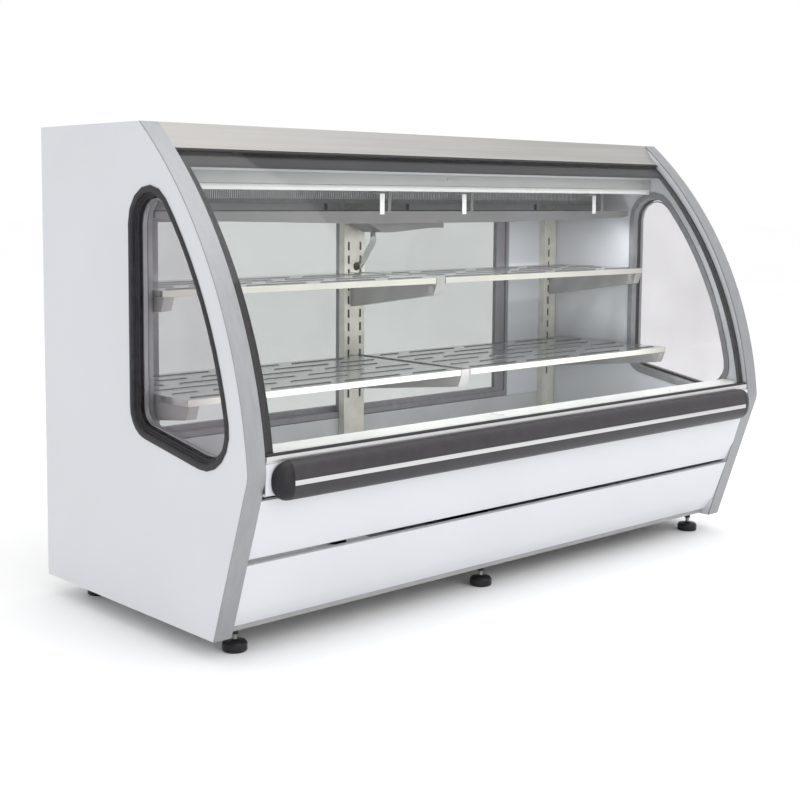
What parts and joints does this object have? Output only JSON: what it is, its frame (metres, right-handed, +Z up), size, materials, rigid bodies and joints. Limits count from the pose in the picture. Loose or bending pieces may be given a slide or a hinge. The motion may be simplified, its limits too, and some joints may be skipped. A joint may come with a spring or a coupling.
{
  "type": "refrigerated deli case",
  "caption": "Chilled serve-over display case with a curved front glass that tips forward, shaped end windows, slotted shelves, a bumper rail, sliding rear doors and levelling feet.",
  "frame": {"origin": "centre of the footprint on the floor, below the middle of the overall box", "axes": "+Z up, the customer side with the curved glass faces -Y, +X runs along the length to the right as seen from the front"},
  "size_m": [2.008, 0.929, 1.242],
  "materials": {
    "white_paint": "satin white powder coat",
    "satin_trim": "satin anodised",
    "rail_metal": "satin metal drawn along its length",
    "stainless": "brushed along the length",
    "charcoal_plastic": "fine-grained charcoal",
    "black_plastic": "moulded black",
    "rubber": "matte black",
    "clear_glass": "clear and polished",
    "tinted_glass": "pale grey-green",
    "white_plastic": "smooth white",
    "coated_steel": "cream-grey coating",
    "coil_aluminium": "bare",
    "dark_aluminium": "dark grey anodised",
    "black_enamel": "gloss black enamel"
  },
  "bodies": {
    "case": {"front_rail": "white_paint", "end_panel_left": "white_paint", "end_panel_right": "white_paint", "canopy_core": "white_paint", "front_panel_upper": "white_paint", "front_panel_lower": "white_paint", "rear_wall": "white_paint", "rear_grille": "white_paint", "edge_trim_left": "satin_trim", "edge_trim_right": "satin_trim", "bumper_stripe": "satin_trim", "top_cover": "stainless", "bumper_body": "charcoal_plastic", "bumper_cap_left": "black_plastic", "bumper_cap_right": "black_plastic", "control_box": "black_plastic", "fan_shroud": "black_plastic", "window_rubber_left": "rubber", "window_rubber_right": "rubber", "window_unit_left": "clear_glass", "window_unit_right": "clear_glass", "front_sill": "white_plastic", "lamp_holder": "white_plastic", "lamp_tube": "white_plastic", "drain_hose": "white_plastic", "tank": "coated_steel", "base_frame": "coated_steel", "standard_left": "coated_steel", "standard_middle": "coated_steel", "standard_right": "coated_steel", "bracket_lower_left": "coated_steel", "bracket_lower_middle": "coated_steel", "bracket_lower_right": "coated_steel", "bracket_upper_left": "coated_steel", "bracket_upper_middle": "coated_steel", "bracket_upper_right": "coated_steel", "shelf_lower_left": "coated_steel", "shelf_lower_right": "coated_steel", "shelf_upper_left": "coated_steel", "shelf_upper_right": "coated_steel", "drip_tray": "coated_steel", "evaporator_coil": "coil_aluminium", "condenser": "coil_aluminium", "door_track": "dark_aluminium", "compressor": "black_enamel"},
    "tilting_glass": {"front_glass": "clear_glass", "glass_rail": "rail_metal"},
    "door_left": {"door_frame_left": "dark_aluminium", "door_pane_left": "tinted_glass"},
    "door_right": {"door_frame_right": "dark_aluminium", "door_pane_right": "tinted_glass"},
    "foot_front_left_body": {"foot_front_left": "black_plastic"},
    "foot_front_middle_body": {"foot_front_middle": "black_plastic"},
    "foot_front_right_body": {"foot_front_right": "black_plastic"},
    "foot_rear_left_body": {"foot_rear_left": "black_plastic"},
    "foot_rear_middle_body": {"foot_rear_middle": "black_plastic"},
    "foot_rear_right_body": {"foot_rear_right": "black_plastic"},
    "switch_rocker": {"light_switch": "black_plastic"},
    "thermostat_dial": {"thermostat_knob": "black_plastic"},
    "fan_rotor": {"condenser_fan": "coil_aluminium"}
  },
  "joints": [
    {"name": "glass_tilt", "type": "hinge", "parent": "case", "child": "tilting_glass", "pos_m": [0, -0.42505, 0.476], "axis": [1, 0, 0], "range_deg": [0, 40]},
    {"name": "door_left_slide", "type": "slide", "parent": "case", "child": "door_left", "axis": [1, 0, 0], "range_m": [0, 0.68]},
    {"name": "door_right_slide", "type": "slide", "parent": "case", "child": "door_right", "axis": [-1, 0, 0], "range_m": [0, 0.68]},
    {"name": "foot_front_left_screw", "type": "slide", "parent": "case", "child": "foot_front_left_body", "axis": [0, 0, -1], "range_m": [0, 0.02]},
    {"name": "foot_front_middle_screw", "type": "slide", "parent": "case", "child": "foot_front_middle_body", "axis": [0, 0, -1], "range_m": [0, 0.02]},
    {"name": "foot_front_right_screw", "type": "slide", "parent": "case", "child": "foot_front_right_body", "axis": [0, 0, -1], "range_m": [0, 0.02]},
    {"name": "foot_rear_left_screw", "type": "slide", "parent": "case", "child": "foot_rear_left_body", "axis": [0, 0, -1], "range_m": [0, 0.02]},
    {"name": "foot_rear_middle_screw", "type": "slide", "parent": "case", "child": "foot_rear_middle_body", "axis": [0, 0, -1], "range_m": [0, 0.02]},
    {"name": "foot_rear_right_screw", "type": "slide", "parent": "case", "child": "foot_rear_right_body", "axis": [0, 0, -1], "range_m": [0, 0.02]},
    {"name": "light_switch_rock", "type": "hinge", "parent": "case", "child": "switch_rocker", "pos_m": [0.62, 0.44445, 1.175], "axis": [1, 0, 0], "range_deg": [0, 20]},
    {"name": "thermostat_turn", "type": "hinge", "parent": "case", "child": "thermostat_dial", "pos_m": [0.75, 0.45045, 1.175], "axis": [0, 1, 0], "range_deg": [0, 270]},
    {"name": "fan_spin", "type": "hinge", "parent": "case", "child": "fan_rotor", "pos_m": [0.58, 0.35045, 0.17], "axis": [0, 1, 0], "continuous": true}
  ]
}
